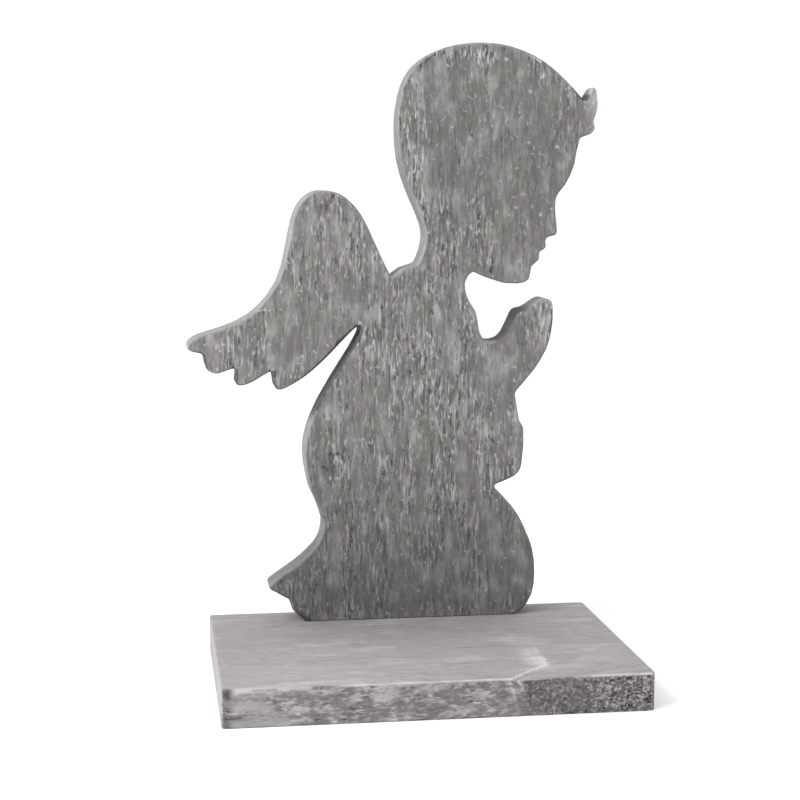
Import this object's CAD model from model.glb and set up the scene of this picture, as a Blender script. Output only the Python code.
"""Weathered wooden angel on its plank: the looks of both boards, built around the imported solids.

Each board is made again as a dense slab on the outline of its own solid, with worn edges, marks and,
on the plank, a torn flake. A Geometry Nodes tree then cuts the grain into it, always inwards, so the
size stays. Sizes are in millimetres until a mesh is written, and in metres from there on.
"""

import logging
import math
from dataclasses import dataclass
from enum import Enum

import bpy
import numpy as np
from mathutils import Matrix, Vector, kdtree
from mathutils.geometry import delaunay_2d_cdt

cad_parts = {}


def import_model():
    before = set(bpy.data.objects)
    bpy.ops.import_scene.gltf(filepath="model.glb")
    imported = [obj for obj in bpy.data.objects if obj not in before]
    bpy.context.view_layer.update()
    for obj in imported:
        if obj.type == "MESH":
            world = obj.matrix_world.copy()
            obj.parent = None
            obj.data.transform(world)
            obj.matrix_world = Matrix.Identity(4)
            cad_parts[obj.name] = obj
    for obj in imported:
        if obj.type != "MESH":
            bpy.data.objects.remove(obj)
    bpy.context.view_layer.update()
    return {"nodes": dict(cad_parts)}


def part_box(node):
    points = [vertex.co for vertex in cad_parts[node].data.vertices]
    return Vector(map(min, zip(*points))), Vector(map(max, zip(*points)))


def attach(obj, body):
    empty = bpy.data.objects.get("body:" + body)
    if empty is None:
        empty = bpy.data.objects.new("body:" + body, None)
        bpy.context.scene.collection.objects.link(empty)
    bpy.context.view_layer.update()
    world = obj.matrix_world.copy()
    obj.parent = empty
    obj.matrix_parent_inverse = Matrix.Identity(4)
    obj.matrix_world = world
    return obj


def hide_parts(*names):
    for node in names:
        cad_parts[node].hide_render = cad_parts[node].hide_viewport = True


MM = 0.001
TINY = 1e-9
# The settings of a Map Range node that eases in and out
SOFT_STEP = {"interpolation_type": "SMOOTHSTEP"}
Point = tuple[float, float, float]
log = logging.getLogger("wooden_angel")


def linear(code: str) -> tuple[float, float, float, float]:
    """Turns an sRGB colour into the linear one that shaders take.

    Args:
        code: the colour as "#rrggbb".

    Returns:
        Red, green, blue and an alpha of 1.
    """
    shares = [int(code[i : i + 2], 16) / 255 for i in (1, 3, 5)]
    red, green, blue = (s / 12.92 if s <= 0.04045 else ((s + 0.055) / 1.055) ** 2.4 for s in shares)
    return red, green, blue, 1.0


class Lie(Enum):
    """How a board lies: the axes of its width, its grain and its thickness."""

    STANDING = (0, 2, 1)
    LYING = (1, 0, 2)

    def stretch(self, across: float, along: float) -> Point:
        """Gives the size of a grain pattern along x, y and z.

        Args:
            across: the pattern's width in mm.
            along: its length down the grain in mm.

        Returns:
            The three sizes in metres.
        """
        sizes = [across * MM] * 3
        sizes[self.value[1]] = along * MM
        return tuple(sizes)


class MarkKind(Enum):
    """What a mark on the wood is."""

    PALE = "pale"
    DARK = "dark"
    GLOW = "glow"
    COAT = "coat"


@dataclass(frozen=True)
class Mark:
    """A stroke on the wood.

    It is white that was rubbed in, a dark stain or tear, a smoothly paler or darker place, or a place
    where the face's coat runs over the sawn edge.

    Each end is (across, along, share): mm across and along the board, and the share of its thickness,
    from 0 at the low face to 1 at the high one. Depth is how far the stroke is sunk, in mm.
    """

    kind: MarkKind
    start: Point
    end: Point
    width: float
    strength: float
    depth: float = 0.0

    def cover(self, points: np.ndarray, thickness: float) -> np.ndarray:
        """Says how much of the mark lies on each point.

        Args:
            points: the points as (across, along, share), one a row.
            thickness: the board's thickness in mm.

        Returns:
            A share from 0 to 1 for each point.
        """
        scale = np.array((1.0, 1.0, thickness))
        start = np.array(self.start) * scale
        run = np.array(self.end) * scale - start
        along = np.clip((points * scale - start) @ run / max(run @ run, TINY), 0, 1)
        away = np.linalg.norm(points * scale - start - along[:, None] * run, axis=1)
        return np.exp(-((away / self.width) ** 2))


@dataclass(frozen=True)
class Cloud:
    """A broad area where the wood is paler or darker: its middle and reach (across, along) in mm."""

    middle: tuple[float, float]
    reach: tuple[float, float]
    gain: float

    def cover(self, points: np.ndarray) -> np.ndarray:
        """Gives the change of tone at each point (across, along, share)."""
        away = (points[:, :2] - np.array(self.middle)) / np.array(self.reach)
        return self.gain * np.exp(-np.sum(away**2, axis=1))


@dataclass(frozen=True)
class RubbedTip:
    """A tip whose high edge is rubbed away: its place (across, along), its reach and the radius in mm."""

    place: tuple[float, float]
    reach: float
    radius: float

    def cover(self, ring: np.ndarray) -> np.ndarray:
        """Gives the radius that the tip adds at each point of the outline (across, along)."""
        away = np.linalg.norm(ring - np.array(self.place), axis=1)
        return self.radius * np.exp(-((away / self.reach) ** 2))


class NodeSheet:
    """A node tree that is filled one node at a time."""

    def __init__(self, tree: bpy.types.NodeTree) -> None:
        """Takes the tree to fill."""
        self.tree = tree

    def add(self, kind: str, inputs: dict | None = None, **settings: object) -> bpy.types.Node:
        """Adds a node with its settings and links.

        Args:
            kind: the node's type in Blender.
            inputs: a socket to link or a value to set, for each input by its name or number.
            settings: the node's own properties.

        Returns:
            The new node.
        """
        node = self.tree.nodes.new(kind)
        for name, value in settings.items():
            setattr(node, name, value)
        for key, value in (inputs or {}).items():
            if isinstance(value, bpy.types.NodeSocket):
                self.tree.links.new(value, node.inputs[key])
            else:
                node.inputs[key].default_value = value
        return node

    def streaks(
        self, place: bpy.types.NodeSocket, size: object, seed: object, detail: float = 2.0
    ) -> bpy.types.NodeSocket:
        """Adds a wood pattern: noise that is drawn out to a real size.

        Args:
            place: the socket with the position on the board.
            size: the pattern's size along x, y and z in metres, or a socket that gives it.
            seed: the number of the pattern, or a socket that gives it.
            detail: how many finer layers the pattern has.

        Returns:
            The socket with the pattern, from 0 to 1 and mostly near 0.5.
        """
        spread = self.add("ShaderNodeVectorMath", {0: place, 1: size}, operation="DIVIDE")
        pattern = {"Vector": spread.outputs[0], "W": seed, "Scale": 1.0, "Detail": detail}
        return self.add("ShaderNodeTexNoise", pattern, noise_dimensions="4D").outputs[0]


@dataclass(frozen=True)
class Streak:
    """One kind of stroke in the grain: its (width, length) in mm, and where its pattern shows.

    The stroke starts to show at one value of the pattern and is full at the other. A start above the
    full value picks the pattern's hollows instead of its peaks.
    """

    size: tuple[float, float]
    starts: float
    full: float
    strength: float


@dataclass(frozen=True)
class WoodLook:
    """How one kind of wood surface looks: its four tones, and the strokes that carry them."""

    ground: str
    shade: str
    pore: str
    brush: str
    band: Streak
    veil: Streak
    hollow: Streak
    ridge: Streak
    pit: Streak
    fleck: Streak
    scratch: Streak
    busy: tuple[float, float]
    calm: float
    seed: float
    BUSY_FROM = 0.4
    BUSY_FULL = 0.65
    SEED_STEP = 2.3

    def paint(
        self, sheet: NodeSheet, place: bpy.types.NodeSocket, lively: bpy.types.NodeSocket, lie: Lie
    ) -> tuple[bpy.types.NodeSocket, bpy.types.NodeSocket]:
        """Adds the nodes for this surface.

        Args:
            sheet: the material's node sheet.
            place: the socket with the position on the board.
            lively: the socket that says where the grain is livelier or calmer than elsewhere.
            lie: how the board lies.

        Returns:
            The sockets of its colour and of its fine height.
        """
        areas = sheet.streaks(place, lie.stretch(*self.busy), self.seed)
        areas = sheet.add("ShaderNodeMath", {0: areas, 1: lively}, operation="ADD").outputs[0]
        limits = {0: areas, 1: self.BUSY_FROM, 2: self.BUSY_FULL, 3: self.calm}
        level = sheet.add("ShaderNodeMapRange", limits, **SOFT_STEP).outputs[0]
        colour = linear(self.ground)
        height = level
        # Each stroke, its tone, whether it follows the busy areas, and how far it lifts the fine height
        layers = (
            (self.band, self.shade, False, 0.0),
            (self.veil, self.brush, False, 0.0),
            (self.hollow, self.pore, True, -0.5),
            (self.ridge, self.brush, True, 0.5),
            (self.pit, self.pore, True, -1.0),
            (self.fleck, self.brush, True, 0.7),
            (self.scratch, self.brush, True, 0.5),
        )
        for number, (streak, tone, patchy, lift) in enumerate(layers, 1):
            pattern = sheet.streaks(place, lie.stretch(*streak.size), self.seed + self.SEED_STEP * number)
            limits = {0: pattern, 1: streak.starts, 2: streak.full, 4: streak.strength}
            share = sheet.add("ShaderNodeMapRange", limits, **SOFT_STEP).outputs[0]
            if patchy:
                share = sheet.add("ShaderNodeMath", {0: share, 1: level}, operation="MULTIPLY").outputs[0]
            mixed = sheet.add("ShaderNodeMix", {0: share, 6: colour, 7: linear(tone)}, data_type="RGBA")
            colour = mixed.outputs[2]
            if lift:
                raised = {0: share, 1: lift, 2: height}
                height = sheet.add("ShaderNodeMath", raised, operation="MULTIPLY_ADD").outputs[0]
        return colour, height


@dataclass(frozen=True)
class GreyedSoftwood:
    """The finish of a whole board: planed faces, sawn edges, torn wood, and the marks on them.

    The face has faint olive and violet areas where the stain aged (drift says how far), and thin
    scratches. Marks break up along the grain by a broken pattern. Sizes are in mm.
    """

    name: str
    face: WoodLook
    edge: WoodLook
    torn: WoodLook
    pale: str
    dark: str
    olive: str
    violet: str
    drift: float
    scratched: float
    lie: Lie
    aged: tuple[float, float] = (10.0, 15.0)
    scratch_bend: float = 7.0
    scratch_reach: float = 4.5
    broken: tuple[float, float] = (1.2, 6.0)
    breaking: float = 1.6
    mark_strength: float = 0.85
    roughness: float = 0.86
    ior: float = 1.5
    bump: float = 0.16
    bump_strength: float = 0.7
    AGED_SEED = 31.0
    BROKEN_SEED = 37.0
    LINE_SEED = 41.0
    SPOT_SEED = 43.0
    LINE_DETAIL = 0.5
    SPOT_DETAIL = 1.0
    CALM_GAIN = -0.3

    def make(self) -> bpy.types.Material:
        """Builds the material.

        Returns:
            The new material.
        """
        material = bpy.data.materials.new(self.name)
        material.use_nodes = True
        material.node_tree.nodes.clear()
        sheet = NodeSheet(material.node_tree)
        place = sheet.add("ShaderNodeTexCoord").outputs["Object"]
        known = {
            name: sheet.add("ShaderNodeAttribute", attribute_name=name).outputs["Fac"]
            for name in ("sawn", "torn", "pale", "dark", "tone", "lively")
        }
        colour, height = self.face.paint(sheet, place, known["lively"], self.lie)
        aged = sheet.streaks(place, self.lie.stretch(*self.aged), self.AGED_SEED)

        # Thin bent scratches: the contour lines of one pattern, in the spots where another is high,
        # and more of them where the grain is calm
        bend, reach = ((size * MM,) * 3 for size in (self.scratch_bend, self.scratch_reach))
        lines = sheet.streaks(place, bend, self.LINE_SEED, self.LINE_DETAIL)
        away = sheet.add("ShaderNodeMath", {0: lines, 1: 0.5}, operation="SUBTRACT").outputs[0]
        away = sheet.add("ShaderNodeMath", {0: away}, operation="ABSOLUTE").outputs[0]
        spots = sheet.streaks(place, reach, self.SPOT_SEED, self.SPOT_DETAIL)
        calmer = {0: known["lively"], 1: self.CALM_GAIN, 2: spots}
        spots = sheet.add("ShaderNodeMath", calmer, operation="MULTIPLY_ADD").outputs[0]

        # Marks break up along the grain
        broken = sheet.streaks(place, self.lie.stretch(*self.broken), self.BROKEN_SEED)
        frayed = {}
        for kind, gain in (("dark", -self.breaking), ("pale", self.breaking)):
            edge = {0: broken, 1: gain, 2: known[kind]}
            frayed[kind] = sheet.add("ShaderNodeMath", edge, operation="MULTIPLY_ADD").outputs[0]
        middle = self.breaking / 2

        # Each pattern, where it starts to show and is full, and how strongly
        steps = {
            "olive": (aged, 0.5, 0.68, self.drift),
            "violet": (aged, 0.5, 0.32, self.drift),
            "line": (away, 0.026, 0.006, 1.0),
            "spot": (spots, 0.6, 0.7, self.scratched),
            "dark": (frayed["dark"], 0.3 - middle, 0.75 - middle, self.mark_strength),
            "pale": (frayed["pale"], 0.3 + middle, 0.85 + middle, self.mark_strength),
        }
        shares = {
            name: sheet.add("ShaderNodeMapRange", dict(zip((0, 1, 2, 4), limits)), **SOFT_STEP).outputs[0]
            for name, limits in steps.items()
        }
        scratch = {0: shares["line"], 1: shares["spot"]}
        scratch = sheet.add("ShaderNodeMath", scratch, operation="MULTIPLY").outputs[0]

        # From the lowest layer up: the share of each, its colour and its own fine height
        layers = (
            (shares["olive"], linear(self.olive), None),
            (shares["violet"], linear(self.violet), None),
            (scratch, linear(self.pale), None),
            (known["sawn"], *self.edge.paint(sheet, place, known["lively"], self.lie)),
            (known["torn"], *self.torn.paint(sheet, place, known["lively"], self.lie)),
            (shares["dark"], linear(self.dark), None),
            (shares["pale"], linear(self.pale), None),
        )
        for share, tone, own_height in layers:
            mixed = sheet.add("ShaderNodeMix", {0: share, 6: colour, 7: tone}, data_type="RGBA")
            colour = mixed.outputs[2]
            if own_height is not None:
                both = {0: share, 2: height, 3: own_height}
                height = sheet.add("ShaderNodeMix", both, data_type="FLOAT").outputs[0]
        toned = sheet.add("ShaderNodeHueSaturation", {"Value": known["tone"], "Color": colour})
        relief = {"Height": height, "Strength": self.bump_strength, "Distance": self.bump * MM}
        bump = sheet.add("ShaderNodeBump", relief)
        wood = sheet.add(
            "ShaderNodeBsdfPrincipled",
            {
                "Base Color": toned.outputs[0],
                "Normal": bump.outputs[0],
                "Roughness": self.roughness,
                "IOR": self.ior,
            },
        )
        sheet.add("ShaderNodeOutputMaterial", {"Surface": wood.outputs[0]})
        return material


@dataclass(frozen=True)
class GrainCut:
    """Sizes of the relief that weather and the saw left, in mm, cut into a board by Geometry Nodes."""

    ridge: tuple[float, float]
    ridge_depth: float
    tear: tuple[float, float]
    tear_depth: float
    grit: float
    grit_depth: float
    seed: float

    TREE = "weathered_grain"
    DETAIL = {"Ridge": 2.0, "Tear": 1.0, "Grit": 3.0}
    STEPS = {"Ridge": (0.75, 0.25), "Tear": (0.56, 0.72)}

    @classmethod
    def tree(cls) -> bpy.types.NodeTree:
        """Builds the tree once, and finds it again afterwards.

        Returns:
            The node tree, which sinks a board's surface along its own normals.
        """
        if cls.TREE in bpy.data.node_groups:
            return bpy.data.node_groups[cls.TREE]
        tree = bpy.data.node_groups.new(cls.TREE, "GeometryNodeTree")
        tree.interface.new_socket("Geometry", in_out="INPUT", socket_type="NodeSocketGeometry")
        for name in cls.DETAIL:
            tree.interface.new_socket(f"{name} size", in_out="INPUT", socket_type="NodeSocketVector")
            tree.interface.new_socket(f"{name} depth", in_out="INPUT", socket_type="NodeSocketFloat")
        tree.interface.new_socket("Seed", in_out="INPUT", socket_type="NodeSocketFloat")
        tree.interface.new_socket("Wood", in_out="INPUT", socket_type="NodeSocketMaterial")
        tree.interface.new_socket("Geometry", in_out="OUTPUT", socket_type="NodeSocketGeometry")
        sheet = NodeSheet(tree)
        given = sheet.add("NodeGroupInput").outputs
        place = sheet.add("GeometryNodeInputPosition").outputs[0]
        inside, sawn, dent = (
            sheet.add("GeometryNodeInputNamedAttribute", {"Name": name}, data_type="FLOAT").outputs[0]
            for name in ("inside", "sawn", "dent")
        )
        sunk = dent
        for name, where in (("Ridge", inside), ("Tear", inside), ("Grit", sawn)):
            pattern = sheet.streaks(place, given[f"{name} size"], given["Seed"], cls.DETAIL[name])
            if name in cls.STEPS:
                starts, full = cls.STEPS[name]
                limits = {0: pattern, 1: starts, 2: full}
                pattern = sheet.add("ShaderNodeMapRange", limits, **SOFT_STEP).outputs[0]
            here = sheet.add("ShaderNodeMath", {0: pattern, 1: where}, operation="MULTIPLY").outputs[0]
            sum_up = {0: here, 1: given[f"{name} depth"], 2: sunk}
            sunk = sheet.add("ShaderNodeMath", sum_up, operation="MULTIPLY_ADD").outputs[0]
        inward = sheet.add("ShaderNodeMath", {0: sunk, 1: -1.0}, operation="MULTIPLY").outputs[0]
        normal = sheet.add("GeometryNodeInputNormal").outputs[0]
        shift = sheet.add("ShaderNodeVectorMath", {0: normal, "Scale": inward}, operation="SCALE")
        moved = sheet.add(
            "GeometryNodeSetPosition", {"Geometry": given["Geometry"], "Offset": shift.outputs[0]}
        )
        whole = sheet.add("GeometryNodeRealizeInstances", {0: moved.outputs[0]})
        dressed = sheet.add("GeometryNodeSetMaterial", {0: whole.outputs[0], "Material": given["Wood"]})
        sheet.add("NodeGroupOutput", {0: dressed.outputs[0]})
        return tree

    def cut(self, piece: bpy.types.Object, lie: Lie, wood: bpy.types.Material) -> None:
        """Cuts the relief into a piece and leaves it as a plain mesh.

        Args:
            piece: the board's object.
            lie: how the board lies.
            wood: the finish that the piece is given.
        """
        modifier = piece.modifiers.new(self.TREE, "NODES")
        modifier.node_group = self.tree()
        values = {
            "Ridge size": lie.stretch(*self.ridge),
            "Tear size": lie.stretch(*self.tear),
            "Grit size": lie.stretch(self.grit, self.grit),
            "Ridge depth": self.ridge_depth * MM,
            "Tear depth": self.tear_depth * MM,
            "Grit depth": self.grit_depth * MM,
            "Seed": self.seed,
            "Wood": wood,
        }
        for socket in modifier.node_group.interface.items_tree:
            if socket.name in values:
                modifier[socket.identifier] = values[socket.name]
        evaluated = piece.evaluated_get(bpy.context.evaluated_depsgraph_get())
        plain = bpy.data.meshes.new_from_object(evaluated)
        piece.modifiers.clear()
        piece.data = plain


@dataclass
class Board:
    """A sawn board: its outline comes from its solid, and its fine surface is made here.

    Width and grain run along the first two axes of lie, thickness along the third. The low face is
    the one at the smaller end of the thickness. Marks lie anywhere, sheltered ones on sawn walls only.
    Clouds change the tone and lively ones the grain. Tips are rubbed round, walls that face the sun
    (across, along) are paler by bleach, and end_sawn is how rough the ends of the grain are.
    """

    node: str
    slot: str
    lie: Lie
    finish: GreyedSoftwood
    cutter: GrainCut
    ease: float
    cell: tuple[float, float]
    wall_rows: int
    seed: int
    ring_step: float = 1.0
    ease_least: float = 0.8
    ease_most: float = 1.6
    ease_pitch: float = 9.0
    rim: float = 0.9
    rim_pale: float = 0.3
    marks: tuple[Mark, ...] = ()
    clouds: tuple[Cloud, ...] = ()
    lively: tuple[Cloud, ...] = ()
    sheltered: tuple[Mark, ...] = ()
    tips: tuple[RubbedTip, ...] = ()
    sun: tuple[float, float] = (0.0, 0.0)
    bleach: float = 0.0
    end_sawn: float = 1.0
    ROWS = (0.3, 0.75, 1.3, 2.0)
    ROW_KEPT = 0.85
    FINER = 4
    LEVEL_SLACK = 0.02
    KEY_DIGITS = 3
    INSIDE_ONLY = 1
    MERGE = 1e-6
    RIM_FADE = 0.5
    WALL_RELIEF = 0.25
    CLEAR = 2.5

    def outline(self, solid: bpy.types.Object) -> np.ndarray:
        """Reads the full outline off the solid, where its low edge has ended.

        Args:
            solid: the CAD node's object.

        Returns:
            The outline's points (across, along) in mm, anticlockwise and evenly spaced.
        """
        across, along, thick = self.lie.value
        places = np.array([v.co for v in solid.data.vertices]) / MM
        level = places[:, thick].min() + self.ease
        on_level = np.abs(places[:, thick] - level) < self.LEVEL_SLACK
        keys = [tuple(p) for p in np.round(places[:, [across, along]], self.KEY_DIGITS)]
        steps: dict = {}
        for edge in solid.data.edges:
            first, second = edge.vertices
            if on_level[first] and on_level[second] and keys[first] != keys[second]:
                steps.setdefault(keys[first], set()).add(keys[second])
                steps.setdefault(keys[second], set()).add(keys[first])
        start = min(steps)
        ring = [start, min(steps[start])]
        while ring[-1] != start:
            ring.append(next(k for k in sorted(steps[ring[-1]]) if k != ring[-2]))
        closed = np.array(ring)
        run = np.concatenate([[0], np.cumsum(np.linalg.norm(np.diff(closed, axis=0), axis=1))])
        at = np.linspace(0, run[-1], round(run[-1] / self.ring_step), endpoint=False)
        even = np.column_stack([np.interp(at, run, closed[:, k]) for k in (0, 1)])
        even = even / 2 + (np.roll(even, 1, 0) + np.roll(even, -1, 0)) / 4
        after = np.roll(even, -1, 0)
        area = np.sum(even[:, 0] * after[:, 1] - after[:, 0] * even[:, 1])
        return even if area > 0 else even[::-1]

    def wear(self, ring: np.ndarray, rng: np.random.Generator, high: bool) -> np.ndarray:
        """Gives the radius to which weather has rounded the edge along the outline.

        Args:
            ring: the outline's points in mm.
            rng: the board's random numbers.
            high: whether it is the high face's edge.

        Returns:
            A radius in mm for each point of the outline.
        """
        knots = rng.random(round(len(ring) * self.ring_step / self.ease_pitch))
        at = np.linspace(0, len(knots), len(ring), endpoint=False)
        wave = np.interp(at, np.arange(len(knots) + 1), np.append(knots, knots[0]))
        radius = self.ease * (self.ease_least + (self.ease_most - self.ease_least) * wave**2)
        if high:
            radius += sum((tip.cover(ring) for tip in self.tips), np.zeros(len(ring)))
        return np.minimum(radius, self.crisp(ring, high))

    def crisp(self, ring: np.ndarray, high: bool) -> np.ndarray:
        """Gives the largest radius that the edge may have at each point: any, as a rule."""
        return np.full(len(ring), np.inf)

    def sink(self, flat: np.ndarray, high: bool) -> np.ndarray:
        """Says how far a face is sunk before any grain is cut.

        Args:
            flat: points on the face (across, along) in mm.
            high: whether it is the high face.

        Returns:
            A depth in mm for each point, nothing unless a board says otherwise.
        """
        return np.zeros(len(flat))

    def extra(self) -> np.ndarray:
        """Gives points that the faces must have, beside their even ones: none as a rule."""
        return np.zeros((0, 2))

    def outward(self, ring: np.ndarray) -> np.ndarray:
        """Gives the direction out of the board at each point of its outline.

        Args:
            ring: the outline's points in mm, anticlockwise.

        Returns:
            Unit vectors (across, along), one a row.
        """
        heading = np.roll(ring, -1, 0) - np.roll(ring, 1, 0)
        outward = np.column_stack([heading[:, 1], -heading[:, 0]])
        return outward / np.linalg.norm(outward, axis=1)[:, None]

    def face_points(self, ring: np.ndarray) -> tuple[np.ndarray, np.ndarray, np.ndarray]:
        """Spreads points over a face: its outline, rows along the edge, and an even field.

        Args:
            ring: the outline's points in mm.

        Returns:
            The points, how far each is from the outline, and its nearest point of the outline.
        """
        outward = self.outward(ring)
        shares = np.arange(self.FINER) / self.FINER
        dense = np.concatenate([ring + (np.roll(ring, -1, 0) - ring) * s for s in shares])
        owner = np.tile(np.arange(len(ring)), len(shares))
        finder = kdtree.KDTree(len(dense))
        for i, (across, along) in enumerate(dense):
            finder.insert((across, along, 0), i)
        finder.balance()
        low, high = ring.min(0), ring.max(0)
        lines = []
        for row, along in enumerate(np.arange(low[1], high[1], self.cell[1])):
            across = np.arange(low[0] + self.cell[0] * (row % 2) / 2, high[0], self.cell[0])
            lines.append(np.column_stack([across, np.full(len(across), along)]))
        groups = [(ring - outward * row, self.ROW_KEPT * row) for row in self.ROWS]
        groups += [(self.extra(), self.CLEAR), (np.concatenate(lines), self.CLEAR)]
        points, away, nearest = [ring], [np.zeros(len(ring))], [np.arange(len(ring))]
        for group, least in groups:
            found = [finder.find((p[0], p[1], 0)) for p in group]
            near = np.array([owner[f[1]] for f in found], int)
            gap = np.array([f[2] for f in found])
            spot = np.array([f[0][:2] for f in found]).reshape(-1, 2)
            inside = np.sum((group - spot) * outward[near], axis=1) < 0
            keep = inside & (gap >= least)
            points.append(group[keep])
            away.append(gap[keep])
            nearest.append(near[keep])
        return np.concatenate(points), np.concatenate(away), np.concatenate(nearest)

    def triangles(self, points: np.ndarray, ring_count: int) -> np.ndarray:
        """Joins a face's points into triangles that are long in the grain's direction.

        Args:
            points: the face's points in mm, the outline first.
            ring_count: how many of them are the outline.

        Returns:
            The triangles as rows of three numbers, anticlockwise.
        """
        scaled = [Vector(p) for p in points / np.array(self.cell)]
        edge = [list(range(ring_count))]
        result = delaunay_2d_cdt(scaled, [], edge, self.INSIDE_ONLY, self.MERGE)
        first = np.array([o[0] if o else -1 for o in result[3]])
        rows = first[np.array([f for f in result[2] if len(f) == 3])]
        a, b, c = (points[rows[:, k]] for k in range(3))
        turn = (b - a)[:, 0] * (c - a)[:, 1] - (b - a)[:, 1] * (c - a)[:, 0]
        rows[turn < 0] = rows[turn < 0][:, ::-1]
        return rows[(rows >= 0).all(axis=1)]

    def build(self, solid: bpy.types.Object) -> bpy.types.Object:
        """Makes the board's mesh, with what the finish needs to know about each point.

        Args:
            solid: the CAD node's object.

        Returns:
            The board's object, at the origin.
        """
        rng = np.random.default_rng(self.seed)
        ring = self.outline(solid)
        count = len(ring)
        flat, away, nearest = self.face_points(ring)
        rows = self.triangles(flat, count)
        thick = self.lie.value[2]
        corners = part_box(self.node)
        low, high = corners[0][thick] / MM, corners[1][thick] / MM
        levels, rims = [], []
        for is_high in (False, True):
            radius = self.wear(ring, rng, is_high)[nearest]
            inner = np.clip(radius - away, 0, None)
            fall = radius - np.sqrt(radius**2 - inner**2) + self.sink(flat, is_high)
            levels.append(high - fall if is_high else low + fall)
            rims.append(np.clip(0.5 + (radius - away) / self.RIM_FADE, 0, 1))
        walls = np.linspace(levels[0][:count], levels[1][:count], self.wall_rows + 1)[1:-1]
        depth = np.concatenate([levels[0], levels[1], walls.ravel()])
        plan = np.concatenate([flat, flat, np.tile(ring, (len(walls), 1))])
        points = np.zeros((len(plan), 3))
        points[:, self.lie.value[0]] = plan[:, 0]
        points[:, self.lie.value[1]] = plan[:, 1]
        points[:, thick] = depth

        total = len(flat)
        order = [np.arange(count)]
        order += [2 * total + k * count + np.arange(count) for k in range(len(walls))]
        order.append(total + np.arange(count))
        strips = [
            np.column_stack([first, second, np.roll(second, -1), np.roll(first, -1)])
            for first, second in zip(order, order[1:])
        ]
        faces = rows.tolist() + (rows[:, ::-1] + total).tolist() + np.concatenate(strips).tolist()

        from_face = np.minimum(depth - low, high - depth)[2 * total :]
        arris = np.concatenate([away, away, from_face])
        by_wall = np.concatenate([nearest, nearest, np.tile(np.arange(count), len(walls))])
        outward = self.outward(ring)
        sawn = np.concatenate([*rims, np.ones(walls.size)])
        sawn *= 1 - (1 - self.end_sawn) * outward[by_wall, 1] ** 2
        share = (depth - low) / (high - low)
        shades = self.shades(np.column_stack([plan, share]), arris, sawn, high - low)
        shades["tone"] += self.bleach * sawn * (outward @ np.array(self.sun))[by_wall]
        inside = np.concatenate([away, away, np.zeros(walls.size)]) / self.CLEAR
        shades["inside"] = np.clip(inside, self.WALL_RELIEF, 1)
        mesh = bpy.data.meshes.new(self.node + "_board")
        mesh.from_pydata((points * MM).tolist(), [], faces)
        mesh.polygons.foreach_set("use_smooth", np.ones(len(mesh.polygons), bool))
        for name, values in shades.items():
            layer = mesh.attributes.new(name, "FLOAT", "POINT")
            layer.data.foreach_set("value", values.astype(np.float32))
        piece = bpy.data.objects.new(self.node + "_board", mesh)
        bpy.context.scene.collection.objects.link(piece)
        return piece

    def shades(self, points: np.ndarray, arris: np.ndarray, sawn: np.ndarray, thickness: float) -> dict:
        """Works out what the finish needs to know about each point.

        Args:
            points: the board's points as (across, along, share of the thickness).
            arris: how far each is from the nearest edge between a face and a wall, in mm.
            sawn: the share of sawn edge, as against planed face, at each point.
            thickness: the board's thickness in mm.

        Returns:
            The named values of each point: sawn, torn, pale, dark, tone, lively, and dent in metres.
        """
        shares = {kind: np.zeros(len(points)) for kind in MarkKind}
        shares[MarkKind.PALE] = self.rim_pale * np.exp(-((arris / self.rim) ** 2))
        dent = np.zeros(len(points))
        for marks, where in ((self.marks, 1.0), (self.sheltered, sawn)):
            for mark in marks:
                cover = mark.cover(points, thickness) * where
                join = np.add if mark.kind is MarkKind.GLOW else np.maximum
                shares[mark.kind] = join(shares[mark.kind], mark.strength * cover)
                dent = np.maximum(dent, mark.depth * cover)
        nothing = np.zeros(len(points))
        tone = 1 + sum((cloud.cover(points) for cloud in self.clouds), shares[MarkKind.GLOW])
        lively = sum((cloud.cover(points) for cloud in self.lively), nothing)
        bare = sawn * (1 - np.clip(shares[MarkKind.COAT], 0, 1))
        return {
            "sawn": bare,
            "torn": self.torn(points, bare),
            "pale": shares[MarkKind.PALE],
            "dark": shares[MarkKind.DARK],
            "tone": tone,
            "lively": lively,
            "dent": dent * MM,
        }

    def torn(self, points: np.ndarray, sawn: np.ndarray) -> np.ndarray:
        """Gives the share of freshly torn wood at each point: none as a rule."""
        return np.zeros(len(points))

    def dress(self, solid: bpy.types.Object) -> bpy.types.Object:
        """Builds the board, cuts its grain, finishes it and sets it in place of its solid.

        Args:
            solid: the CAD node's object.

        Returns:
            The finished piece.
        """
        piece = self.build(solid)
        self.cutter.cut(piece, self.lie, self.finish.make())
        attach(piece, "root")
        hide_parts(self.node)
        log.info("%s: %d faces for %s", piece.name, len(piece.data.polygons), self.node)
        return piece


def strokes(kind: MarkKind, width: float, strength: float, *routes: tuple, share: float = 0.0) -> tuple:
    """Makes the marks along some routes on one face.

    Args:
        kind: what the marks are.
        width: their width in mm.
        strength: how strong they are.
        routes: rows of points (across, along) in mm.
        share: the share of the thickness at which they lie.

    Returns:
        A mark for each stretch between two points.
    """
    return tuple(
        Mark(kind, (*first, share), (*second, share), width, strength)
        for route in routes
        for first, second in zip(route, route[1:])
    )


def through(kind: MarkKind, width: float, strength: float, *places: tuple) -> tuple:
    """Makes marks on the sawn walls, from just behind the low face to the high one.

    Args:
        kind: what the marks are.
        width: their width in mm.
        strength: how strong they are.
        places: where on the outline they lie (across, along) in mm.

    Returns:
        A mark for each place.
    """
    behind, high = 0.1, 1.0
    return tuple(Mark(kind, (*place, behind), (*place, high), width, strength) for place in places)


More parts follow.
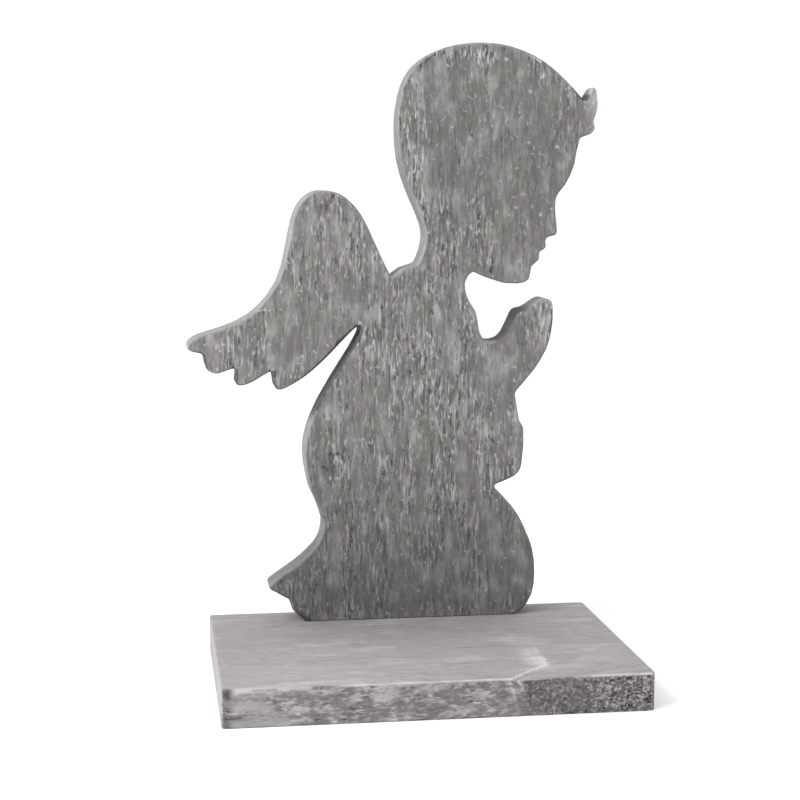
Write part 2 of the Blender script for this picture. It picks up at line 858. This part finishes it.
def scatter(
    kind: MarkKind,
    middle: tuple[float, float],
    reach: tuple[float, float],
    count: int,
    slant: float,
    strength: float = 0.6,
) -> tuple:
    """Scatters short marks over an area of the low face.

    Args:
        kind: what the marks are.
        middle: the area's middle (across, along) in mm.
        reach: how far the marks spread from there, across and along, in mm.
        count: how many there are.
        slant: how far they lean from the grain, in degrees either way.
        strength: how strong they are.

    Returns:
        The marks, the same ones each time.
    """
    rng = np.random.default_rng(round(1000 + middle[0] + 7 * middle[1]))
    width, run = 0.7, 2.0
    found = []
    for across, along in rng.normal(middle, reach, (count, 2)).tolist():
        lean = math.radians(float(rng.normal(0, slant)))
        side, up = run * math.sin(lean), run * math.cos(lean)
        start, end = (across - side, along - up, 0), (across + side, along + up, 0)
        found.append(Mark(kind, start, end, width, strength))
    return tuple(found)


PALE, DARK, GLOW, COAT = MarkKind.PALE, MarkKind.DARK, MarkKind.GLOW, MarkKind.COAT

# Planed softwood, stained grey and dry-brushed with white: matt, with short upright flecks and pores,
# which are drawn 1.5 mm wide, coarser than real pores, so that they show
STAINED_FACE = WoodLook(
    ground="#646362",
    shade="#545352",
    pore="#232222",
    brush="#adabaa",
    band=Streak((7, 80), 0.42, 0.66, 0.5),
    veil=Streak((8, 18), 0.46, 0.72, 0.36),
    hollow=Streak((1.7, 11), 0.54, 0.28, 0.78),
    ridge=Streak((1.7, 11), 0.48, 0.74, 0.66),
    pit=Streak((1.5, 4.4), 0.44, 0.35, 0.8),
    fleck=Streak((1.6, 5), 0.57, 0.67, 0.66),
    scratch=Streak((1.2, 20), 0.6, 0.69, 0.55),
    busy=(14, 40),
    calm=0.3,
    seed=2.0,
)
# Its sawn edges: sanded smooth and left paler, with little grain to see
STAINED_EDGE = WoodLook(
    ground="#767675",
    shade="#6b6b6b",
    pore="#4c4b4b",
    brush="#a6a5a5",
    band=Streak((6, 60), 0.42, 0.66, 0.4),
    veil=Streak((10, 24), 0.5, 0.72, 0.25),
    hollow=Streak((1.4, 5), 0.5, 0.25, 0.3),
    ridge=Streak((1.4, 5), 0.5, 0.75, 0.3),
    pit=Streak((1.3, 5), 0.35, 0.3, 0.5),
    fleck=Streak((1.4, 5), 0.65, 0.7, 0.4),
    scratch=Streak((1.0, 14), 0.66, 0.72, 0.4),
    busy=(12, 32),
    calm=0.4,
    seed=23.0,
)
# Limewashed softwood: a chalky coat on the planed top, with soft streaks down the grain
LIMED_FACE = WoodLook(
    ground="#8f8b8c",
    shade="#827e7f",
    pore="#5d5a5a",
    brush="#bab7b7",
    band=Streak((9, 90), 0.42, 0.66, 0.4),
    veil=Streak((14, 36), 0.48, 0.72, 0.3),
    hollow=Streak((1.7, 14), 0.52, 0.27, 0.4),
    ridge=Streak((1.7, 14), 0.5, 0.74, 0.4),
    pit=Streak((1.5, 8), 0.38, 0.32, 0.5),
    fleck=Streak((1.6, 8), 0.63, 0.69, 0.5),
    scratch=Streak((1.2, 24), 0.64, 0.7, 0.5),
    busy=(20, 50),
    calm=0.35,
    seed=44.0,
)
# Its rough-sawn edges: torn fibres with white caught on the ridges and dark wood between
LIMED_EDGE = WoodLook(
    ground="#64605f",
    shade="#545150",
    pore="#2e2c2b",
    brush="#aeabaa",
    band=Streak((4, 16), 0.42, 0.62, 0.45),
    veil=Streak((5, 12), 0.46, 0.66, 0.45),
    hollow=Streak((1.5, 3.4), 0.5, 0.28, 0.6),
    ridge=Streak((1.7, 4.2), 0.5, 0.72, 0.5),
    pit=Streak((1.5, 3.6), 0.4, 0.34, 0.75),
    fleck=Streak((1.7, 4.4), 0.56, 0.7, 0.65),
    scratch=Streak((1.2, 9), 0.6, 0.66, 0.6),
    busy=(8, 20),
    calm=0.5,
    seed=65.0,
)
# Where the flake tore, the edge is bare and crumbly: dark, with fine pale and black grains
LIMED_TORN = WoodLook(
    ground="#535150",
    shade="#454342",
    pore="#080808",
    brush="#9d9998",
    band=Streak((5, 12), 0.42, 0.62, 0.5),
    veil=Streak((8, 8), 0.5, 0.7, 0.1),
    hollow=Streak((1.9, 2.2), 0.5, 0.34, 0.8),
    ridge=Streak((1.9, 2.2), 0.5, 0.66, 0.6),
    pit=Streak((2.4, 2.6), 0.44, 0.37, 0.95),
    fleck=Streak((2.0, 2.4), 0.56, 0.62, 0.7),
    scratch=Streak((1.3, 3), 0.6, 0.66, 0.6),
    busy=(9, 12),
    calm=0.52,
    seed=86.0,
)
STAINED = GreyedSoftwood(
    name="grey_stained_softwood_dry_brushed",
    face=STAINED_FACE,
    edge=STAINED_EDGE,
    torn=STAINED_EDGE,
    pale="#b4b2b1",
    dark="#2a2828",
    olive="#626154",
    violet="#665e64",
    drift=0.35,
    scratched=0.55,
    lie=Lie.STANDING,
)
LIMED = GreyedSoftwood(
    name="limewashed_softwood_rough_sawn",
    face=LIMED_FACE,
    edge=LIMED_EDGE,
    torn=LIMED_TORN,
    pale="#c2bfbf",
    dark="#454343",
    olive="#7c7c72",
    violet="#827d82",
    drift=0.2,
    scratched=0.2,
    lie=Lie.LYING,
)

# Marks on the figure's good face, as (x, z)
KNOT = (
    *strokes(DARK, 1.1, 0.8, ((-54, 137), (-49, 140), (-43, 138), (-40, 132))),
    *strokes(DARK, 1.1, 0.8, ((-55, 129), (-50, 126), (-44, 127))),
    *strokes(PALE, 0.9, 0.8, ((-47, 136), (-43, 134), (-42, 129)), ((-53, 124), (-49, 121), (-44, 122))),
    *scatter(DARK, (-50, 130), (6, 8), 18, 40),
    *scatter(PALE, (-47, 123), (8, 12), 16, 25),
    *strokes(GLOW, 5.0, -0.12, ((-50, 134), (-47, 124))),
)
WING_SCUFFS = (
    *strokes(PALE, 1.0, 0.5, ((-66, 305), (-57, 266)), ((-39, 308), (-34, 303))),
    *strokes(PALE, 1.6, 0.4, ((-55, 264), (-50, 258)), ((-43, 294), (-43, 282)), ((-76, 258), (-76, 244))),
    *strokes(PALE, 0.8, 0.5, ((-60, 219), (-53, 212), (-50, 218))),
    *strokes(GLOW, 3.0, 0.2, ((-129, 217), (-127, 199)), ((-121, 217), (-121, 205))),
    *strokes(GLOW, 3.0, 0.2, ((-69, 309), (-61, 312))),
    *strokes(GLOW, 3.0, 0.15, ((-76, 292), (-74, 280)), ((-78, 252), (-77, 243)), ((-66, 303), (-58, 268))),
    *strokes(GLOW, 5.0, -0.1, ((-33, 255), (-30, 245)), ((-98, 222), (-70, 245))),
    *scatter(PALE, (-17, 271), (3, 9), 16, 20),
    *scatter(PALE, (-60, 250), (25, 25), 30, 30),
    *scatter(DARK, (-60, 250), (25, 25), 24, 25),
    *scatter(PALE, (-105, 208), (16, 9), 18, 30),
    *scatter(DARK, (-105, 208), (16, 9), 16, 30),
)
HEAD_SCUFFS = (
    *strokes(DARK, 0.9, 0.7, ((-3, 352), (-3, 376), (3, 388), (10, 396), (18, 403), (28, 408.5))),
    *scatter(PALE, (50, 404), (16, 3), 34, 8, 0.7),
    *scatter(DARK, (50, 405), (16, 3), 22, 8),
    *scatter(PALE, (4, 350), (3, 24), 34, 8, 0.7),
    *strokes(PALE, 0.8, 0.9, ((85, 404), (92, 400))),
    *strokes(GLOW, 4.0, 0.15, ((8, 330), (11, 300)), ((56, 380), (62, 360)), ((90, 318), (95, 300))),
    *scatter(PALE, (60, 345), (35, 35), 40, 45),
    *scatter(DARK, (60, 340), (40, 35), 36, 40),
    *scatter(PALE, (104, 380), (6, 12), 18, 40),
    *scatter(DARK, (111, 364), (5, 12), 16, 40),
)
BODY_SCUFFS = (
    *strokes(PALE, 3.0, 0.3, ((29, 220), (39, 198))),
    *strokes(PALE, 2.6, 0.4, ((89, 240), (97, 209)), ((61, 153), (73, 164))),
    *strokes(PALE, 2.0, 0.35, ((-30, 116), (-27, 59)), ((40, 86), (54, 94)), ((36, 51), (44, 44))),
    *strokes(PALE, 0.6, 0.9, ((35, 116), (33, 105))),
    *strokes(PALE, 2.4, 0.4, ((-36, 34), (-28, 27))),
    *strokes(DARK, 0.8, 0.7, ((-37, 90), (-37, 73))),
    *strokes(GLOW, 6.0, 0.12, ((30, 222), (38, 196)), ((58, 153), (76, 164))),
    *scatter(PALE, (95, 227), (5, 12), 26, 20, 0.65),
    *strokes(DARK, 1.2, 0.55, ((100.5, 236), (101, 226), (99, 214))),
    *strokes(GLOW, 4.0, 0.15, ((95, 240), (95, 216))),
    *strokes(GLOW, 2.6, -0.5, ((-73, 29), (-66, 24.5))),
    *scatter(DARK, (92, 222), (7, 12), 14, 20),
    *scatter(PALE, (68, 145), (8, 12), 26, 25),
    *scatter(PALE, (15, 110), (35, 50), 50, 15),
    *scatter(DARK, (15, 150), (40, 70), 60, 15),
)
# Sawn walls that lie deep between two limbs, where the stain stayed dark
SHELTERED_WALLS = (
    *strokes(DARK, 18.0, 2.0, ((-31, 224), (-60, 184)), share=0.5),
    *through(GLOW, 6.0, -0.66, (64, 216), (69, 221), (73, 228), (76, 234), (82, 238)),
    *through(DARK, 5.0, 1.3, (-135, 205), (-134, 201), (-113, 195), (-113, 189)),
    *through(DARK, 5.0, 1.3, (-88.5, 193), (-87.5, 186)),
    *through(DARK, 5.0, 1.1, (120, 378), (122, 377)),
    *strokes(GLOW, 15.0, -0.25, ((-56, 92), (-62, 74)), ((-70, 66), (-84, 56)), share=0.5),
    *strokes(GLOW, 16.0, -0.16, ((-9, 322), (-9, 352)), ((0, 385), (20, 405)), share=0.5),
)


@dataclass
class AngelFigure(Board):
    """The upright board, sawn to a kneeling angel in profile with one wing."""

    node: str = "angel_figure"
    slot: str = "figure_wood"
    lie: Lie = Lie.STANDING
    finish: GreyedSoftwood = STAINED
    cutter: GrainCut = GrainCut((3.4, 40), 0.4, (2.0, 12), 0.3, 1.5, 0.15, 3.0)
    ease: float = 1.4
    cell: tuple[float, float] = (1.0, 2.8)
    wall_rows: int = 10
    seed: int = 7
    bleach: float = 0.25
    sun: tuple[float, float] = (-0.7, 0.7)
    marks: tuple[Mark, ...] = KNOT + WING_SCUFFS + HEAD_SCUFFS + BODY_SCUFFS
    sheltered: tuple[Mark, ...] = SHELTERED_WALLS
    clouds: tuple[Cloud, ...] = (
        Cloud((0, 24), (220, 90), -0.37),
        Cloud((60, 340), (75, 60), -0.18),
        Cloud((84, 212), (20, 30), -0.08),
        Cloud((-112, 206), (30, 20), 0.08),
        Cloud((129, 373), (5.5, 12), 0.95),
        Cloud((128, 352), (5, 5), 0.3),
    )
    lively: tuple[Cloud, ...] = (
        Cloud((10, 160), (45, 130), 0.1),
        Cloud((-24, 262), (14, 40), 0.1),
        Cloud((4, 345), (9, 60), 0.15),
        Cloud((50, 406), (40, 8), 0.15),
        Cloud((30, 278), (30, 15), 0.1),
        Cloud((96, 222), (8, 20), 0.1),
        Cloud((62, 345), (42, 46), -0.25),
        Cloud((70, 195), (12, 22), -0.15),
        Cloud((70, 60), (25, 35), -0.1),
        Cloud((10, 38), (70, 16), -0.15),
        Cloud((-60, 222), (18, 16), -0.15),
        Cloud((-95, 225), (30, 25), -0.08),
    )
    tips: tuple[RubbedTip, ...] = (RubbedTip((128, 382), 5, 9),)
    SOLE = 1.0
    SOLE_EASE = 0.3

    def crisp(self, ring: np.ndarray, high: bool) -> np.ndarray:
        """Keeps the edges of the sole sharp, where the figure stands on the plank."""
        return np.where(ring[:, 1] < ring[:, 1].min() + self.SOLE, self.SOLE_EASE, np.inf)


@dataclass
class Plank(Board):
    """The base board, with the flake that tore off its top along the front edge.

    Its marks and the flake's lip are measured from the front edge: (behind it, x) in mm.
    """

    node: str = "base_plank"
    slot: str = "plank_wood"
    lie: Lie = Lie.LYING
    finish: GreyedSoftwood = LIMED
    cutter: GrainCut = GrainCut((5, 60), 0.18, (2.2, 24), 0.2, 1.7, 0.5, 5.0)
    ease: float = 1.2
    cell: tuple[float, float] = (1.25, 2.6)
    wall_rows: int = 24
    seed: int = 11
    ease_least: float = 0.7
    ease_most: float = 1.0
    rim_pale: float = 0.2
    bleach: float = 0.25
    sun: tuple[float, float] = (0.0, -1.0)
    clouds: tuple[Cloud, ...] = (
        Cloud((20, -70), (45, 80), 0.12),
        Cloud((140, 0), (45, 100), -0.19),
        Cloud((92, -134), (200, 3.0), 0.3),
        Cloud((0, 76), (5, 22), -0.08),
    )
    end_sawn: float = 0.12
    lively: tuple[Cloud, ...] = (
        Cloud((0, 41), (20, 7), -0.25),
        Cloud((0, 53), (6, 6), -0.25),
        Cloud((0, -115), (6, 16), -0.15),
        Cloud((0, 72), (5, 18), -0.12),
        Cloud((0, 120), (5, 20), 0.25),
    )
    marks: tuple[Mark, ...] = (
        *strokes(COAT, 1.1, 1.3, ((0, -60), (0, 45)), share=1.0),
        *strokes(GLOW, 1.0, 0.45, ((0, -60), (0, 45)), share=1.0),
        Mark(COAT, (0.2, 78, 0.955), (0.2, 94, 0.985), 0.7, 0.6),
        Mark(COAT, (0.2, 92, 0.98), (0.2, 131, 0.975), 0.95, 1.25),
        Mark(GLOW, (0.2, 82, 0.975), (0.2, 131, 0.985), 1.0, 0.6),
        *strokes(GLOW, 1.0, 0.3, ((1, 92), (12, 129)), share=0.98),
        *strokes(COAT, 4.5, 1.2, ((0, -122), (0, -108)), share=0.97),
        *strokes(COAT, 2.2, 1.2, ((0, -108), (0, -80)), share=1.0),
        *strokes(GLOW, 6.5, 0.45, ((34, 64), (60, 65)), share=1.0),
        *strokes(GLOW, 3.5, 0.3, ((30, 67.5), (46, 68)), share=1.0),
        *strokes(GLOW, 1.6, 0.4, ((51, 71), (68, 71.5)), share=1.0),
        *strokes(PALE, 0.9, 0.6, ((60, 13), (60, 27)), ((36, -2), (36, 7)), share=1.0),
        *strokes(PALE, 1.6, 0.5, ((142, -28), (142, -10)), ((130, -74), (131, -67)), share=1.0),
        *strokes(DARK, 1.6, 0.5, ((74, 20), (75, 56)), share=1.0),
        *strokes(DARK, 1.2, 0.6, ((38, 6), (38, 24)), share=1.0),
        *strokes(GLOW, 4.0, 0.15, ((0, -122), (0, -95)), share=0.95),
        *strokes(GLOW, 0.7, -0.6, ((0, -113), (0, -107)), ((0, -105), (0, -99.5)), share=0.95),
        *strokes(GLOW, 0.7, -0.6, ((0, -121), (0, -114.5)), ((0, -112), (0, -106)), share=0.855),
        *strokes(COAT, 3.5, 0.7, ((0, -124), (0, -94)), share=0.1),
        Mark(COAT, (0, -122, 0.55), (0, -106, 0.5), 4.0, 0.6),
        Mark(GLOW, (0, -128.5, 0.8), (0, -127.5, 0.95), 2.6, -0.3),
        Mark(GLOW, (0, 41, 1.0), (0, 46.5, 0.15), 0.8, 0.6),
        Mark(GLOW, (0, 46, 1.0), (0, 49.5, 0.7), 0.9, 0.9),
        Mark(GLOW, (0, -129.6, 0.05), (0, -129.2, 0.95), 3.0, -0.48),
        Mark(DARK, (0, -131, 0.05), (0, -130.6, 0.95), 1.0, 0.8, 0.3),
        Mark(DARK, (0, -127, 0.24), (0, -120, 0.27), 0.7, 1.2, 0.3),
    )
    lip: tuple[tuple[float, float], ...] = (
        (-6, 38),
        (2.5, 45.8),
        (18, 60),
        (28, 70.5),
        (47, 70.9),
        (78, 74),
    )
    flake_depth: float = 0.9
    flake_run: float = 55.0
    flake_reach: float = 47.0
    LIP_TIP = 3
    LIP_GAP = 0.15
    LIP_STEP = 0.8
    LIP_GLOW = (1.1, 1.0)
    LIP_SHOWN = 5
    FLOOR_UP = (58.0, 100.0)
    TORN_FROM = 46.0
    TORN_TO = 118.0
    TORN_EASE = 0.5
    TORN_SLANT = 6.0
    TORN_FADE = 4.0
    EDGE_BAND = 1.0
    FRONT_BAND = 4.0

    @property
    def front(self) -> float:
        """The front edge's y in mm."""
        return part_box(self.node)[0].y / MM

    def lip_at(self, behind: np.ndarray) -> np.ndarray:
        """Gives the lip's x at a distance behind the front edge."""
        return np.interp(behind, [p[0] for p in self.lip], [p[1] for p in self.lip])

    def sink(self, flat: np.ndarray, high: bool) -> np.ndarray:
        """Sinks the torn floor, which rises to the back of the lip's tip and up to the face on the right.

        Args:
            flat: points on the face (across, along) in mm.
            high: whether it is the high face.

        Returns:
            A depth in mm for each point.
        """
        behind, x = flat[:, 0] - self.front, flat[:, 1]
        tip_behind, tip_x = self.lip[self.LIP_TIP]
        rise = (x - tip_x) / self.flake_run + (behind - tip_behind) / self.flake_reach
        floor = np.clip(self.flake_depth * (1 - rise), 0, None)
        floor *= np.interp(x, self.FLOOR_UP, (1.0, 0.0))
        torn = high & (x > self.lip_at(behind)) & (behind < self.lip[-1][0])
        return np.where(torn, floor, 0.0)

    def crisp(self, ring: np.ndarray, high: bool) -> np.ndarray:
        """Leaves the high front edge sharper where the flake tore it anew.

        Args:
            ring: the outline's points (across, along) in mm.
            high: whether it is the high face's edge.

        Returns:
            The largest radius in mm for each point of the outline.
        """
        across, x = ring[:, 0], ring[:, 1]
        anew = (across < self.front + self.EDGE_BAND) & (x > self.TORN_FROM) & (x < self.TORN_TO)
        return np.where(anew & high, self.TORN_EASE, np.inf)

    def extra(self) -> np.ndarray:
        """Gives two close rows of points, one on each side of the lip, so that its step is sharp.

        Returns:
            The points (across, along) in mm.
        """
        behind = np.arange(0.0, self.lip[-1][0], self.LIP_STEP)
        sides = [self.lip_at(behind) + side for side in (-self.LIP_GAP, self.LIP_GAP)]
        return np.concatenate([np.column_stack([behind + self.front, x]) for x in sides])

    def shades(self, points: np.ndarray, arris: np.ndarray, sawn: np.ndarray, thickness: float) -> dict:
        """Works out the points' values with the places measured from the front edge.

        Args:
            points: the board's points as (across, along, share of the thickness).
            arris: how far each is from the nearest edge between a face and a wall, in mm.
            sawn: the share of sawn edge, as against planed face, at each point.
            thickness: the board's thickness in mm.

        Returns:
            The named values of each point.
        """
        placed = points - np.array((self.front, 0.0, 0.0))
        values = super().shades(placed, arris, sawn, thickness)
        width, strength = self.LIP_GLOW
        route = strokes(GLOW, width, strength, self.lip[: self.LIP_SHOWN], share=1.0)
        values["tone"] += strength * np.max([mark.cover(placed, thickness) for mark in route], axis=0)
        return values

    def torn(self, points: np.ndarray, sawn: np.ndarray) -> np.ndarray:
        """Gives the share of torn wood: the front edge from the slanting end of the flake rightwards.

        Args:
            points: the board's points as (behind the front edge, x, share of the thickness).
            sawn: the share of bare sawn edge at each point.

        Returns:
            A share from 0 to 1 for each point.
        """
        start = self.TORN_FROM + self.TORN_SLANT * (1 - points[:, 2])
        right = np.clip((points[:, 1] - start) / self.TORN_FADE, 0, 1)
        return sawn * right * (points[:, 0] < self.FRONT_BAND)


@dataclass
class Studio:
    """The pale floor, the soft light and the camera, in metres and degrees."""

    floor_side: float = 30.0
    floor_tone: str = "#fbfbfb"
    floor_roughness: float = 0.95
    sky_tone: str = "#ffffff"
    sky: float = 1.05
    box_place: Point = (-1.5, -0.9, 1.4)
    box_aim: Point = (0.0, 0.0, 0.2)
    box_side: float = 1.2
    box_power: float = 42.0
    eye: Point = (-0.1712, -1.1072, 0.3202)
    yaw: float = 8.17
    pitch: float = 7.02
    focal_pixels: float = 1766.8
    picture_side: int = 800
    sensor: float = 36.0

    def floor(self) -> None:
        """Lays a plain floor under the plank."""
        mesh = bpy.data.meshes.new("floor")
        half = self.floor_side / 2
        corners = [(-half, -half, 0), (half, -half, 0), (half, half, 0), (-half, half, 0)]
        mesh.from_pydata(corners, [], [(0, 1, 2, 3)])
        # Matt white paper: even and pale, with no gloss
        material = bpy.data.materials.new("matt_white_paper")
        material.use_nodes = True
        shader = material.node_tree.nodes["Principled BSDF"]
        shader.inputs["Base Color"].default_value = linear(self.floor_tone)
        shader.inputs["Roughness"].default_value = self.floor_roughness
        mesh.materials.append(material)
        floor = bpy.data.objects.new("floor", mesh)
        bpy.context.scene.collection.objects.link(floor)

    def light(self) -> None:
        """Sets an even white sky and one large soft box, high at the front left."""
        world = bpy.data.worlds.new("studio")
        world.use_nodes = True
        background = world.node_tree.nodes["Background"]
        background.inputs["Color"].default_value = linear(self.sky_tone)
        background.inputs["Strength"].default_value = self.sky
        bpy.context.scene.world = world
        lamp = bpy.data.lights.new("soft_box", "AREA")
        lamp.size = self.box_side
        lamp.energy = self.box_power
        holder = bpy.data.objects.new("soft_box", lamp)
        holder.location = self.box_place
        aim = Vector(self.box_aim) - Vector(self.box_place)
        holder.rotation_euler = aim.to_track_quat("-Z", "Y").to_euler()
        bpy.context.scene.collection.objects.link(holder)

    def camera(self) -> None:
        """Sets the camera where the picture was taken from."""
        data = bpy.data.cameras.new("camera")
        data.sensor_width = self.sensor
        data.lens = self.focal_pixels / self.picture_side * self.sensor
        holder = bpy.data.objects.new("camera", data)
        holder.location = self.eye
        holder.rotation_euler = (math.radians(90 - self.pitch), 0, math.radians(-self.yaw))
        bpy.context.scene.collection.objects.link(holder)
        bpy.context.scene.camera = holder


def main() -> None:
    """Builds the two boards and the studio."""
    logging.basicConfig(level=logging.INFO, format="%(name)s: %(message)s")
    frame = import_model()
    for board in (Plank(), AngelFigure()):
        board.dress(frame["nodes"][board.node])
    studio = Studio()
    studio.floor()
    studio.light()
    studio.camera()
    bpy.context.scene.view_settings.view_transform = "Standard"


if __name__ == "__main__":
    main()
